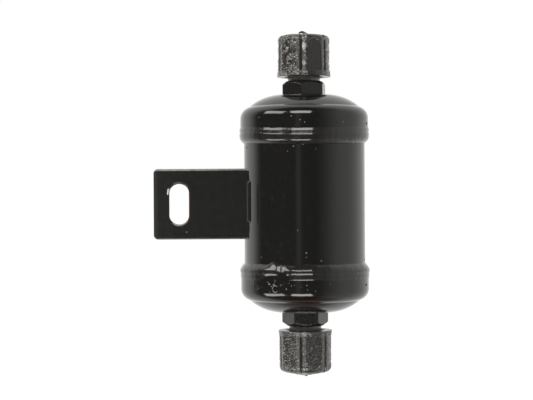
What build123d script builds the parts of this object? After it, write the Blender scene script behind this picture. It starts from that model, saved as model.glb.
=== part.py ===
"""Filter drier for a refrigerant line, in millimetres, with +Z up the canister's axis.

The canister is a steel tube closed by two deep-drawn end cups, which lap over the tube and are fillet welded to it.
Each cup carries a turned hexagon fitting with a male flare thread, shut by a moulded screw cap with a rubber seal.
A flat bracket with one slot is welded to the tube. Inside, a spring presses a moulded desiccant core between two
filter pads on to a perforated plate that is trapped under the end of the tube.

The origin is the centre of the bracket's slot, on the bracket's mounting face, which looks along +Y. Each round
piece is drawn about the Z axis, with Z = 0 half way up the tube, and is moved to the canister's axis when written.
"""

import os
from math import cos, radians, sqrt, tan

from build123d import *

os.makedirs("parts", exist_ok=True)

# ---- Driving sizes: canister -------------------------------------------------------------------------------------
TUBE_DIAMETER = 66.0
TUBE_WALL = 2.0
SEAM_SPACING = 74.0  # between the open edges of the two cups
CUP_WALL = 1.9
CUP_LAP = 7.0  # how far the tube runs into each cup
CUP_SKIRT = 9.3  # straight wall of a cup, from its open edge to its shoulder
SHOULDER_RADIUS = 6.5
DOME_RADIUS = 24.6
CROWN_DIAMETER = 26.8  # flat seat for the fitting in the middle of the dome
CROWN_HEIGHT = 22.2  # above the cup's open edge
CREASE_RADIUS = 1.4  # hollow line between shoulder and dome
SEAM_BEAD_TOE = 4.5  # how far the weld runs along the tube
SEAM_BEAD_CREST = 0.45  # how far it stands proud of the cup
SEAM_BEAD_OVERLAP = 4.4  # how far it runs over the cup's edge

# ---- Driving sizes: fittings -------------------------------------------------------------------------------------
HEX_ACROSS_FLATS = 22.0
HEX_HEIGHT = 7.4
HEX_FACE_DIAMETER = 19.6  # turned face inside the chamfered corners
HEX_CHAMFER_ANGLE = 36.0
INLET_HEX_TURN = -39.0  # angle from +X to a corner, seen from above
OUTLET_HEX_TURN = -58.0
THREAD_DIAMETER = 19.05  # 3/4-16 UNF, the size of a 1/2 inch SAE flare
THREAD_LENGTH = 14.8
RELIEF_DIAMETER = 17.6
RELIEF_LENGTH = 3.2
FLARE_FACE_DIAMETER = 12.4
FLARE_ANGLE = 45.0
BORE_DIAMETER = 10.2
SPIGOT_DIAMETER = 16.0
SPIGOT_REACH = 2.6  # past the inside of the cup
BRAZE_LEG = 1.8

# ---- Driving sizes: caps -----------------------------------------------------------------------------------------
CAP_LENGTH = 22.5
CAP_DIAMETER = 28.7  # at the rim; the wall tapers to the closed end
CAP_DRAFT_ANGLE = 0.5
CAP_RIM_DIAMETER = 29.2
CAP_RIM_HEIGHT = 2.2
CAP_END_WALL = 2.2
CAP_END_ROUND = 2.8
CAP_ACROSS_FLATS = 27.0
CAP_PANEL_START = 2.8  # above the rim
CAP_MOUTH_DIAMETER = 21.4
CAP_MOUTH_DEPTH = 1.6
RIB_GROOVE_WIDTH = 1.3
RIB_GROOVE_DEPTH = 0.7
GATE_DIAMETER = 2.8  # at its root; the stub tapers to where it broke off
GATE_TIP_DIAMETER = 1.3
GATE_HEIGHT = 3.2
SEAL_THICKNESS = 2.2
CAP_SIDES = 6
INLET_CAP_TURN = -38.0  # angle from +X to a rib, seen from above
OUTLET_CAP_TURN = -42.0

# ---- Driving sizes: bracket --------------------------------------------------------------------------------------
BRACKET_HEIGHT = 38.0
BRACKET_THICKNESS = 3.0
BRACKET_CORNER = 2.4
BRACKET_EDGE_ROLL = 0.7  # edge rounded by the punch on the front face
SLOT_EDGE_ROLL = 0.5
SLOT_LENGTH = 23.0
SLOT_WIDTH = 11.0
SLOT_TO_EDGE = 13.6  # slot's middle to the free end of the plate
SLOT_TO_AXIS = 68.0  # slot's middle to the canister's axis, along X
FACE_TO_AXIS = 10.5  # mounting face to the canister's axis, along Y
FRONT_BEAD_RADIUS = 1.2
FRONT_BEAD_LENGTH = 22.6
FRONT_BEAD_RISE = 1.1  # middle of the bead above the middle of the plate
REAR_BEAD_RADIUS = 2.6
REAR_BEAD_LENGTH = 33.0

# ---- Driving sizes: filter stack ---------------------------------------------------------------------------------
SPRING_WIRE = 2.6
SPRING_MEAN_DIAMETER = 24.0
SPRING_TURNS = 5.0
PLATE_THICKNESS = 1.2
PLATE_HOLE = 4.6
PLATE_HOLE_RINGS = 3
PLATE_HOLE_MARGIN = 5.4  # from the bore's wall, less its clearance, to the middle of the outer ring of holes
PRESSURE_PLATE_RIM = 4.0
PAD_THICKNESS = 6.0
PAD_EDGE_ROUND = 1.5
SCREEN_THICKNESS = 0.4
CORE_LENGTH = 68.0
CORE_EDGE_CHAMFER = 2.0
CORE_DRAFT_ANGLE = 0.2

# ---- Clearances, each on a radius or a face ----------------------------------------------------------------------
CUP_SLIP = 0.05
SPIGOT_SLIP = 0.05
THREAD_CLEARANCE = 0.10
SEAL_CLEARANCE = 0.30
STACK_CLEARANCE = 0.40
PLATE_SLIP = 0.05
PLATE_SEAT_GAP = 0.10

# ---- Worked out from the driving sizes ---------------------------------------------------------------------------
tube_radius = TUBE_DIAMETER / 2
tube_bore = tube_radius - TUBE_WALL
cup_bore = tube_radius + CUP_SLIP
cup_radius = cup_bore + CUP_WALL
cup_edge_z = SEAM_SPACING / 2
tube_end_z = cup_edge_z + CUP_LAP
shoulder_z = cup_edge_z + CUP_SKIRT
crown_z = cup_edge_z + CROWN_HEIGHT
crown_inside_z = crown_z - CUP_WALL
hex_top_z = crown_z + HEX_HEIGHT
thread_z = hex_top_z + RELIEF_LENGTH
thread_radius = THREAD_DIAMETER / 2
flare_z = thread_z + THREAD_LENGTH
flare_height = (RELIEF_DIAMETER - FLARE_FACE_DIAMETER) / 2 / tan(radians(FLARE_ANGLE))
nose_z = flare_z + flare_height
seal_top_z = nose_z + SEAL_THICKNESS
cap_end_z = seal_top_z + CAP_END_WALL
cap_rim_z = cap_end_z - CAP_LENGTH
cap_bore = thread_radius + THREAD_CLEARANCE
AXIS = Pos(SLOT_TO_AXIS, FACE_TO_AXIS, 0)
FLIP = Rot(180, 0, 0)  # turns an upper piece over to the outlet end


def revolved(*points):
    """A solid turned about Z from the (radius, height) corners of its half section."""
    return revolve(make_face(Plane.XZ * Polyline(*points, close=True)), Axis.Z)


def disc(radius, bottom, top):
    """A round solid about Z between two heights."""
    return extrude(Plane.XY.offset(bottom) * Circle(radius), top - bottom)


# ---- Canister ----------------------------------------------------------------------------------------------------
def can_tube():
    """Plain welded tube, square cut."""
    return disc(tube_radius, -tube_end_z, tube_end_z) - disc(tube_bore, -tube_end_z, tube_end_z)


def cup_region(inset):
    """Half section of what a cup encloses, taken in by inset, so the same curves give its outside and its inside."""
    radius, top = cup_radius - inset, crown_z - inset
    shoulder, dome = SHOULDER_RADIUS - inset, DOME_RADIUS - inset
    barrel_top = shoulder_z + shoulder
    barrel = Pos(radius / 2, (cup_edge_z + barrel_top) / 2) * Rectangle(radius, barrel_top - cup_edge_z)
    barrel = fillet(barrel.vertices().sort_by(Axis.X)[-2:].sort_by(Axis.Y)[-1], shoulder)
    dome_width = CROWN_DIAMETER / 2 + dome
    cap = Pos(dome_width / 2, top - dome / 2) * Rectangle(dome_width, dome)
    cap = fillet(cap.vertices().sort_by(Axis.X)[-2:].sort_by(Axis.Y)[-1], dome)
    limit = Pos(radius / 2, (cup_edge_z + top) / 2) * Rectangle(radius, top - cup_edge_z)
    region = barrel + (cap & limit)
    hollows = region.vertices().filter_by(lambda v: CROWN_DIAMETER / 2 < v.X < radius - 0.01 and v.Y > shoulder_z)
    crease = hollows.sort_by(Axis.X)[:1]
    return fillet(crease, CREASE_RADIUS + inset) if crease else region


def end_cup():
    """Deep-drawn cup: straight skirt, rolled shoulder, hollow crease, dome and a flat crown with the fitting's hole."""
    section = cup_region(0) - cup_region(CUP_WALL)
    cup = revolve(Plane.XZ * section, Axis.Z)
    return cup - disc(SPIGOT_DIAMETER / 2 + SPIGOT_SLIP, crown_inside_z - 1, crown_z + 1)


def seam_bead():
    """Fillet weld round the tube, in the corner under the cup's open edge, swollen over the edge itself."""
    toe = (tube_radius, cup_edge_z - SEAM_BEAD_TOE)
    crest = (cup_radius + SEAM_BEAD_CREST, cup_edge_z - SEAM_BEAD_CREST)
    heel = (cup_radius, cup_edge_z + SEAM_BEAD_OVERLAP)
    belly = ((toe[0] + crest[0]) / 2 + SEAM_BEAD_CREST, (toe[1] + crest[1]) / 2)
    face_line = ThreePointArc(toe, belly, crest)
    roll = ThreePointArc(crest, (cup_radius + SEAM_BEAD_CREST * 0.9, (crest[1] + heel[1]) / 2), heel)
    back = Polyline(heel, (cup_radius, cup_edge_z), (tube_radius, cup_edge_z), toe)
    return revolve(Plane.XZ * make_face(Curve() + [face_line, roll, back]), Axis.Z)


# ---- Fittings ----------------------------------------------------------------------------------------------------
def fitting(corner_angle):
    """Turned from hexagon bar: spigot, hexagon with chamfered corners, relief, thread, 45 degree flare and bore."""
    hexagon = RegularPolygon(HEX_ACROSS_FLATS / 2, 6, major_radius=False, rotation=corner_angle)
    body = extrude(Plane.XY.offset(crown_z) * hexagon, HEX_HEIGHT)
    corner = HEX_ACROSS_FLATS / 2 / cos(radians(30))
    face = HEX_FACE_DIAMETER / 2
    drop = (corner - face) * tan(radians(HEX_CHAMFER_ANGLE))
    body &= revolved((0, crown_z), (corner, crown_z), (corner, hex_top_z - drop), (face, hex_top_z), (0, hex_top_z))
    relief, spigot = RELIEF_DIAMETER / 2, SPIGOT_DIAMETER / 2
    lead = thread_radius - relief
    stem = revolved(
        (0, crown_inside_z - SPIGOT_REACH),
        (spigot, crown_inside_z - SPIGOT_REACH),
        (spigot, crown_z),
        (relief, crown_z),
        (relief, thread_z - lead),
        (thread_radius, thread_z),
        (thread_radius, flare_z - lead),
        (relief, flare_z),
        (FLARE_FACE_DIAMETER / 2, nose_z),
        (0, nose_z),
    )
    return body + stem - disc(BORE_DIAMETER / 2, crown_inside_z - SPIGOT_REACH - 1, nose_z + 1)


def braze_ring():
    """Fillet of braze inside the cup, between its crown and the fitting's spigot."""
    spigot = SPIGOT_DIAMETER / 2
    hollow = ThreePointArc(
        (spigot, crown_inside_z - BRAZE_LEG),
        (spigot + BRAZE_LEG * 0.3, crown_inside_z - BRAZE_LEG * 0.3),
        (spigot + BRAZE_LEG, crown_inside_z),
    )
    legs = Polyline(hollow @ 1, (spigot, crown_inside_z), hollow @ 0)
    return revolve(Plane.XZ * make_face(Curve() + [hollow, legs]), Axis.Z)


# ---- Caps --------------------------------------------------------------------------------------------------------
def cap(rib_angle):
    """Moulded screw cap: flared rim, drafted wall, six finger flats between grooved ribs and the stub of its gate."""
    outer = CAP_DIAMETER / 2
    end = outer - (CAP_LENGTH - CAP_RIM_HEIGHT) * tan(radians(CAP_DRAFT_ANGLE))
    section = make_face(
        Polyline(
            (0, cap_rim_z),
            (CAP_RIM_DIAMETER / 2, cap_rim_z),
            (outer, cap_rim_z + CAP_RIM_HEIGHT),
            (end, cap_end_z),
            (0, cap_end_z),
            close=True,
        )
    )
    section = fillet(section.vertices().sort_by(Axis.Y)[-2:].sort_by(Axis.X)[-1], CAP_END_ROUND)
    shell = revolve(Plane.XZ * section, Axis.Z)
    panel_base = cap_rim_z + CAP_PANEL_START
    tall = CAP_LENGTH - CAP_PANEL_START
    flat = Box(CAP_DIAMETER, CAP_DIAMETER, 2 * tall, align=(Align.MIN, Align.CENTER, Align.MIN))
    half_side = 180 / CAP_SIDES
    for side in PolarLocations(CAP_ACROSS_FLATS / 2, CAP_SIDES, start_angle=rib_angle + half_side):
        shell -= Pos(0, 0, panel_base) * side * flat
    groove = Box(2 * RIB_GROOVE_DEPTH, RIB_GROOVE_WIDTH, 2 * tall, align=(Align.CENTER, Align.CENTER, Align.MIN))
    for rib in PolarLocations(outer, CAP_SIDES, start_angle=rib_angle):
        shell -= Pos(0, 0, panel_base) * rib * groove
    root, tip = GATE_DIAMETER / 2, GATE_TIP_DIAMETER / 2
    gate_top_z = cap_end_z + GATE_HEIGHT
    shell += revolved((0, cap_end_z - 1), (root, cap_end_z - 1), (root, cap_end_z), (tip, gate_top_z), (0, gate_top_z))
    shell -= disc(cap_bore, cap_rim_z, seal_top_z)
    return shell - revolved(
        (0, cap_rim_z),
        (CAP_MOUTH_DIAMETER / 2, cap_rim_z),
        (CAP_MOUTH_DIAMETER / 2, cap_rim_z + CAP_MOUTH_DEPTH),
        (cap_bore, cap_rim_z + CAP_MOUTH_DEPTH + (CAP_MOUTH_DIAMETER / 2 - cap_bore)),
        (0, cap_rim_z + CAP_MOUTH_DEPTH + (CAP_MOUTH_DIAMETER / 2 - cap_bore)),
    )


def cap_seal():
    """Rubber disc in the closed end of a cap, which the fitting's nose presses on."""
    return disc(cap_bore - SEAL_CLEARANCE, nose_z, seal_top_z)


# ---- Bracket, drawn about the slot's middle -----------------------------------------------------------------------
def tube_skin():
    """The space that the tube fills, in the bracket's own place."""
    return AXIS * disc(tube_radius, -BRACKET_HEIGHT, BRACKET_HEIGHT)


def bracket_blank():
    """Punched plate with rounded corners at its free end, long enough to reach into the tube."""
    length = SLOT_TO_EDGE + SLOT_TO_AXIS
    outline = Pos(SLOT_TO_AXIS - length / 2, 0) * Rectangle(length, BRACKET_HEIGHT)
    outline = fillet(outline.vertices().sort_by(Axis.X)[:2], BRACKET_CORNER)
    blank = extrude(Plane.XZ * outline, BRACKET_THICKNESS)
    front = blank.faces().sort_by(Axis.Y)[0]
    free_edges = front.edges().filter_by(lambda e: e.center().X < SLOT_TO_AXIS - 1)
    return fillet(free_edges, BRACKET_EDGE_ROLL)


def bracket_plate():
    """The blank with its slot, punched through from the front, and its end coped to lie against the tube."""
    slot = Plane.XZ * (Rot(0, 0, 90) * SlotOverall(SLOT_LENGTH, SLOT_WIDTH))
    plate = bracket_blank() - extrude(slot, 2 * BRACKET_THICKNESS, both=True)
    front = plate.faces().sort_by(Axis.Y)[0]
    plate = fillet(front.inner_wires()[0].edges(), SLOT_EDGE_ROLL)
    return plate - tube_skin()


def bracket_bead(face_y, radius, length, rise):
    """Fillet weld along the corner between the tube and the plate's face at face_y, rounded at its two ends."""
    corner_x = SLOT_TO_AXIS - sqrt(tube_radius**2 - (FACE_TO_AXIS - face_y) ** 2)
    straight = length - 2 * radius
    rod = Pos(corner_x, face_y, rise) * Cylinder(radius, straight)
    for end in (-1, 1):
        rod += Pos(corner_x, face_y, rise + end * straight / 2) * Sphere(radius)
    return rod - tube_skin() - bracket_blank()


# ---- Filter stack ------------------------------------------------------------------------------------------------
stack_radius = tube_bore - STACK_CLEARANCE
hole_pitch = (stack_radius - PLATE_HOLE_MARGIN) / PLATE_HOLE_RINGS
plate_top_z = -tube_end_z
screen_top_z = plate_top_z + SCREEN_THICKNESS
lower_pad_top_z = screen_top_z + PAD_THICKNESS
core_top_z = lower_pad_top_z + CORE_LENGTH
upper_pad_top_z = core_top_z + PAD_THICKNESS
pressure_plate_top_z = upper_pad_top_z + PLATE_THICKNESS


def perforated(plate):
    """The plate with rings of round holes, six more in each ring."""
    hole = Cylinder(PLATE_HOLE / 2, 4 * tube_end_z)
    plate -= hole
    for ring in range(1, PLATE_HOLE_RINGS + 1):
        plate -= PolarLocations(ring * hole_pitch, 6 * ring) * hole
    return plate


def support_plate():
    """Perforated plate under the end of the tube, whose turned-down rim stands on the lower cup's shoulder."""
    radius = cup_bore - PLATE_SLIP
    inner_shoulder = SHOULDER_RADIUS - CUP_WALL
    reach = radius - (cup_radius - SHOULDER_RADIUS)
    seat_z = -(shoulder_z + sqrt(max(inner_shoulder**2 - reach**2, 0)) - PLATE_SEAT_GAP)
    plate = disc(radius, seat_z, plate_top_z) - disc(radius - PLATE_THICKNESS, seat_z, plate_top_z - PLATE_THICKNESS)
    return perforated(plate)


def pressure_plate():
    """Perforated plate with a turned-up rim, which the spring presses on the upper pad."""
    rim_z = upper_pad_top_z + PRESSURE_PLATE_RIM
    plate = disc(stack_radius, upper_pad_top_z, rim_z)
    return perforated(plate - disc(stack_radius - PLATE_THICKNESS, pressure_plate_top_z, rim_z))


def filter_pad(bottom, top):
    """Felt disc with soft edges."""
    pad = disc(stack_radius, bottom, top)
    return fillet(pad.edges().filter_by(GeomType.CIRCLE), PAD_EDGE_ROUND)


def desiccant_core():
    """Moulded block of bonded desiccant, slightly tapered to leave its mould."""
    shrink = CORE_LENGTH * tan(radians(CORE_DRAFT_ANGLE))
    block = revolved(
        (0, lower_pad_top_z),
        (stack_radius, lower_pad_top_z),
        (stack_radius - shrink, core_top_z),
        (0, core_top_z),
    )
    return chamfer(block.edges().filter_by(GeomType.CIRCLE), CORE_EDGE_CHAMFER)


def compression_spring():
    """Round wire spring between the pressure plate and the upper cup's crown, its ends ground flat."""
    length = crown_inside_z - pressure_plate_top_z
    path = Pos(0, 0, pressure_plate_top_z) * Helix(length / SPRING_TURNS, length, SPRING_MEAN_DIAMETER / 2)
    wire = Plane(path @ 0, z_dir=path % 0) * Circle(SPRING_WIRE / 2)
    coil = sweep(wire, path, is_frenet=True)
    return coil & disc(SPRING_MEAN_DIAMETER, pressure_plate_top_z, crown_inside_z)


# ---- Pieces, each in its place -----------------------------------------------------------------------------------
pieces = {
    "can_tube": AXIS * can_tube(),
    "upper_end_cup": AXIS * end_cup(),
    "lower_end_cup": AXIS * FLIP * end_cup(),
    "upper_weld_bead": AXIS * seam_bead(),
    "lower_weld_bead": AXIS * FLIP * seam_bead(),
    "inlet_fitting": AXIS * fitting(INLET_HEX_TURN),
    "outlet_fitting": AXIS * FLIP * fitting(-OUTLET_HEX_TURN),
    "inlet_braze_ring": AXIS * braze_ring(),
    "outlet_braze_ring": AXIS * FLIP * braze_ring(),
    "inlet_cap": AXIS * cap(INLET_CAP_TURN),
    "outlet_cap": AXIS * FLIP * cap(-OUTLET_CAP_TURN),
    "inlet_cap_seal": AXIS * cap_seal(),
    "outlet_cap_seal": AXIS * FLIP * cap_seal(),
    "bracket_plate": bracket_plate(),
    "bracket_weld_front": bracket_bead(-BRACKET_THICKNESS, FRONT_BEAD_RADIUS, FRONT_BEAD_LENGTH, FRONT_BEAD_RISE),
    "bracket_weld_rear": bracket_bead(0, REAR_BEAD_RADIUS, REAR_BEAD_LENGTH, 0),
    "support_plate": AXIS * support_plate(),
    "outlet_screen": AXIS * disc(stack_radius, plate_top_z, screen_top_z),
    "lower_filter_pad": AXIS * filter_pad(screen_top_z, lower_pad_top_z),
    "desiccant_core": AXIS * desiccant_core(),
    "upper_filter_pad": AXIS * filter_pad(core_top_z, upper_pad_top_z),
    "pressure_plate": AXIS * pressure_plate(),
    "compression_spring": AXIS * compression_spring(),
}

for name, piece in pieces.items():
    export_step(piece, f"parts/{name}.step")
    print(name, round(piece.volume), "mm3")
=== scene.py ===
# %% [markdown]
# # A filter drier, dressed for its portrait
# A filter drier is a small steel canister in the liquid line of a cooling system. Two deep-drawn cups are
# welded over a tube, each cup carries a flare fitting under a screw cap, and a slotted bracket holds it
# to the machine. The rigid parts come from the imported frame. This lesson gives each of them its finish,
# and rebuilds the ones whose surface is more than a plain turned shape: the weld beads, the threads and
# the crinkled caps.

from math import cos, pi, radians, sin, sqrt, tan

import bmesh
import bpy
import numpy as np
from mathutils import Matrix, Vector


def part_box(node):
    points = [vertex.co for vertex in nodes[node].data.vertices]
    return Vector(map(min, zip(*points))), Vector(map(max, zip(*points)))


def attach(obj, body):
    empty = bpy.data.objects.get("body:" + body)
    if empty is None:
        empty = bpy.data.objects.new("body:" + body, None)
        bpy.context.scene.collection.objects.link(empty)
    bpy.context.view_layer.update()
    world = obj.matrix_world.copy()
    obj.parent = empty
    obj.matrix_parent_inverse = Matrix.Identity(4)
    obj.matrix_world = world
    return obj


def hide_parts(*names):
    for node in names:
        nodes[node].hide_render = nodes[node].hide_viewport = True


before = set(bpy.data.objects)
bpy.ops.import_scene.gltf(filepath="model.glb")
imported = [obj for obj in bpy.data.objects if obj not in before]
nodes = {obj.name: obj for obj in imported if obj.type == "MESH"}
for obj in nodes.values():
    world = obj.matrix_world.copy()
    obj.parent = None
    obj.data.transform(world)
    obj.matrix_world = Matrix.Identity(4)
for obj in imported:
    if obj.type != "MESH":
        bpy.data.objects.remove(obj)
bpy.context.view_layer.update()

# %% [markdown]
# The canister's axis and the heights of its parts are read off the frame's own nodes, so a dressed part
# sits where the bare one was. What the frame does not tell is typed as a named size, such as the radius
# of the slot's ends and half the length of its straight sides. Sizes are in millimetres, as on a drawing,
# and turned into metres when a mesh is made. A place in a shader, a tree or the studio is in metres, as
# Blender has it.

# %% Measure what the pieces sit on
MM = 0.001
TO_MM = 1000
SLOT_RADIUS, SLOT_STRAIGHT = 5.5, 6.0
tube_low, tube_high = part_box("can_tube")
AXIS_X = (tube_low.x + tube_high.x) / 2
AXIS_Y = (tube_low.y + tube_high.y) / 2
TUBE_RADIUS = (tube_high.x - tube_low.x) / 2 / MM
CUP_RADIUS = (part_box("upper_end_cup")[1].x - AXIS_X) / MM
CROWN_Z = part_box("upper_end_cup")[1].z / MM
BEAD_RADIUS = (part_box("upper_weld_bead")[1].x - AXIS_X) / MM
NOSE_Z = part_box("inlet_fitting")[1].z / MM
SPIGOT_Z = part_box("inlet_fitting")[0].z / MM
CAP_RIM_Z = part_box("inlet_cap")[0].z / MM
SEAL_TOP_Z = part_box("inlet_cap_seal")[1].z / MM
print("axis", round(AXIS_X, 4), round(AXIS_Y, 4), "crown", round(CROWN_Z, 2), "nose", round(NOSE_Z, 2))

# %% [markdown]
# ## Shader maths as plain sums
# A node tree is easier to read as an expression than as a list of links. `Wire` holds one socket and
# overloads the operators, so `1 - mask * 0.4` adds its own Math nodes. `Bench` adds any other node: its
# type, its settings, and what goes into its sockets. The same two classes serve materials, the world and
# Geometry Nodes.


# %% A socket that can stand in a sum
class Wire:
    def __init__(self, bench, socket):
        self.bench = bench
        self.socket = socket

    def _math(self, operation, first, second=0.0):
        return self.bench.add("ShaderNodeMath", {0: first, 1: second}, operation=operation)[0]

    def __add__(self, other):
        return self._math("ADD", self, other)

    def __sub__(self, other):
        return self._math("SUBTRACT", self, other)

    def __rsub__(self, other):
        return self._math("SUBTRACT", other, self)

    def __mul__(self, other):
        return self._math("MULTIPLY", self, other)

    def __rmul__(self, other):
        return self._math("MULTIPLY", other, self)

    def __truediv__(self, other):
        return self._math("DIVIDE", self, other)

    def __pow__(self, other):
        return self._math("POWER", self, other)

    def turn(self, operation, other=0.0):
        """Any other Math operation, with this wire first."""
        return self._math(operation, self, other)


# %% A bench that adds nodes
class Made:
    def __init__(self, bench, node):
        self.bench = bench
        self.node = node

    def __getitem__(self, name):
        return Wire(self.bench, find_socket(self.node.outputs, name))


def find_socket(sockets, name):
    """A socket by its number, its identifier or its name."""
    if isinstance(name, int):
        return sockets[name]
    exact = [s for s in sockets if s.identifier == name]
    return exact[0] if exact else [s for s in sockets if s.name == name and s.enabled][0]


class Bench:
    def __init__(self, tree):
        self.tree = tree

    def add(self, kind, sockets=None, **settings):
        node = self.tree.nodes.new(kind)
        for name, value in settings.items():
            setattr(node, name, value)
        for name, value in (sockets or {}).items():
            socket = find_socket(node.inputs, name)
            if isinstance(value, Wire):
                self.tree.links.new(value.socket, socket)
            else:
                socket.default_value = value
        return Made(self, node)

    def fade(self, value, start, end, low=0.0, high=1.0):
        """Runs smoothly from low to high while value runs from start to end."""
        sockets = {"Value": value, "From Min": start, "From Max": end, "To Min": low, "To Max": high}
        return self.add("ShaderNodeMapRange", sockets, interpolation_type="SMOOTHSTEP")[0]

    def band(self, value, middle, inner, outer, strength=1.0):
        """A soft stripe: full within inner of the middle, and nothing past outer."""
        return self.fade((value - middle).turn("ABSOLUTE"), inner, outer, strength, 0.0)

    def oval(self, across, up, inner, outer, strength=1.0):
        """A soft round spot where across and up, each counted in radii, are small."""
        return self.fade(across * across + up * up, inner, outer, strength, 0.0)

    def blend(self, factor, first, second):
        """Mixes two colours."""
        sockets = {"Factor_Float": factor, "A_Color": first, "B_Color": second}
        return self.add("ShaderNodeMix", sockets, data_type="RGBA")["Result_Color"]

    def noise(self, place, scale, detail=2.0, roughness=0.5, **settings):
        """Soft random grey at so many features a metre."""
        sockets = {"Vector": place, "Scale": scale, "Detail": detail, "Roughness": roughness}
        return self.add("ShaderNodeTexNoise", sockets, **settings)[0]

    def parts(self, place):
        """The X, Y and Z of a place."""
        made = self.add("ShaderNodeSeparateXYZ", {0: place})
        return made["X"], made["Y"], made["Z"]

    def vector(self, x=0.0, y=0.0, z=0.0):
        """A place from its X, Y and Z."""
        return self.add("ShaderNodeCombineXYZ", {0: x, 1: y, 2: z})["Vector"]

    def scaled(self, place, factor):
        """A place or a direction times a number."""
        sockets = {0: place, "Scale": factor}
        return self.add("ShaderNodeVectorMath", sockets, operation="SCALE")["Vector"]

    def added(self, first, second):
        """Two places added."""
        return self.add("ShaderNodeVectorMath", {0: first, 1: second}, operation="ADD")["Vector"]

    def distance(self, first, second):
        """How far apart two places are."""
        return self.add("ShaderNodeVectorMath", {0: first, 1: second}, operation="DISTANCE")["Value"]


def empty_bench(owner):
    """A bench on the cleared node tree of a material or a world."""
    owner.use_nodes = True
    owner.node_tree.nodes.clear()
    return Bench(owner.node_tree)


print("helpers ready")

# %% [markdown]
# ## Finishes
# Every finish starts in the same way: a Principled shader, and Object coordinates to hang its detail on.
# All objects stand at the origin, so a pattern of so many features a metre runs on across pieces without
# a seam.


# %% Start a material
def new_finish(name):
    """The bench of an empty material, the object's coordinates, and a function that wires up the shader."""
    material = bpy.data.materials.new(name)
    bench = empty_bench(material)
    place = bench.add("ShaderNodeTexCoord")["Object"]

    def close(height=None, depth=0.00002, **sockets):
        if height is not None:
            bump = bench.add("ShaderNodeBump", {"Height": height, "Distance": depth, "Strength": 1.0})
            sockets["Normal"] = bump["Normal"]
        named = {name.replace("_", " "): value for name, value in sockets.items()}
        shader = bench.add("ShaderNodeBsdfPrincipled", named)
        bench.add("ShaderNodeOutputMaterial", {"Surface": shader["BSDF"]})
        return material

    return bench, place, close


# %% [markdown]
# The canister is dipped or sprayed with black enamel. Close up such paint is not flat: it has a fine
# orange peel, a few long waves from the metal under it, and a little dust. Three noises at three scales
# give that. The dust only lightens the colour and dulls the gloss, and the other two go to one Bump node.
# In front, under the lower shoulder, a brown tint is painted in as a reflection, and a pale line painted
# along the crease of the upper cup stands for its highlight.

# %% Black enamel
bench, place, close = new_finish("black_enamel")
peel = bench.noise(place, 620, 2.0)
waves = bench.noise(place, 55, 1.0)
dust = bench.fade(bench.noise(place, 240, 6.0, 0.7), 0.55, 0.8)
x, y, z = bench.parts(place)
# Painted reflection: a brown tint on the front of the lower dome, just under its shoulder.
painted_brown_reflection = bench.oval((x - AXIS_X) / 0.0105, (z + 0.0518) / 0.0034, 0.15, 1.5)
painted_brown_reflection = painted_brown_reflection * bench.fade(AXIS_Y - y, 0.004, 0.009)
coat = bench.blend(dust, (0.0077, 0.0076, 0.0074, 1), (0.0185, 0.0178, 0.0170, 1))
# Painted highlight: a pale line along the crease of the upper cup.
crease_highlight = bench.band(z * TO_MM, 52.1, 0.2, 0.55, 0.55)
coat = bench.blend(crease_highlight, coat, (0.085, 0.084, 0.078, 1))
enamel = close(
    height=peel * 0.35 + waves * 4.0,
    Base_Color=bench.blend(painted_brown_reflection, coat, (0.0098, 0.0040, 0.0025, 1)),
    Roughness=bench.fade(dust, 0, 1, 0.10, 0.24),
)

# %% [markdown]
# The bracket was punched and handled before and after painting. A pale painted highlight, broken up by
# noise, runs along its rolled top and bottom edges and in the lower lip of the slot, and the paint pooled
# with an olive tint at the free end. A chip at the upper left of the slot and a dot under it show bright
# metal, and a little rust has crept out on the right. The plate stands at the origin, with the middle of
# the slot, so each mask is a distance in millimetres from there.

# %% Enamel on the bracket
bench, place, close = new_finish("bracket_enamel")
x, y, z = bench.parts(place)
along, up = x * TO_MM, z * TO_MM
peel = bench.noise(place, 620, 2.0)
waves = bench.noise(place, 55, 1.0)
scuffs = bench.noise(place, 300, 5.0, 0.7)
past_straight = (up.turn("ABSOLUTE") - SLOT_STRAIGHT).turn("MAXIMUM", 0.0)
from_slot = (along * along + past_straight * past_straight).turn("SQRT") - SLOT_RADIUS
front = bench.fade(0 - y * TO_MM, 1.7, 2.2)
# Painted highlights along the top edge, the foot edge and the lower lip of the slot.
top_edge_highlight = bench.fade(up, 17.75, 18.15) * bench.fade(0 - along, -42, 2, 0.4, 0.85)
foot_edge_highlight = bench.fade(0 - up, 17.95, 18.35, 0.0, 0.08) * bench.fade(0 - along, -42, -30, 0.3, 1.0)
slot_lip_highlight = bench.fade(from_slot, -0.1, 0.25, 1.0, 0.0) * bench.fade(0 - up, 9.6, 10.8)
edge_highlights = (top_edge_highlight + foot_edge_highlight + slot_lip_highlight) * bench.fade(scuffs, 0.3, 0.55, 0.55, 1.0)
beside = bench.band(up, 6.8, 1.2, 1.9) * bench.fade(0 - along, 3, 4)
chip = bench.band(from_slot, 0.35, 0.3, 0.5) * beside * front
dot = bench.oval((along - 4.1) / 0.55, (up + 15.0) / 0.5, 0.3, 1.2) * front
olive = bench.fade(0 - along, 10.9, 12.2)
rust = bench.fade(from_slot, 0.3, 1.6, 1.0, 0.0) * bench.fade(along, 3.5, 5.0) * front
ground = bench.blend(scuffs, (0.0092, 0.0092, 0.0092, 1), (0.0110, 0.0109, 0.0108, 1))
ground = bench.blend(bench.fade(0 - along, -2, 7, 0.0, 0.45), ground, (0.014, 0.0137, 0.0137, 1))
ground = bench.blend(olive * 0.8, ground, (0.025, 0.023, 0.014, 1))
ground = bench.blend(rust * 0.7, ground, (0.026, 0.014, 0.009, 1))
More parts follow.
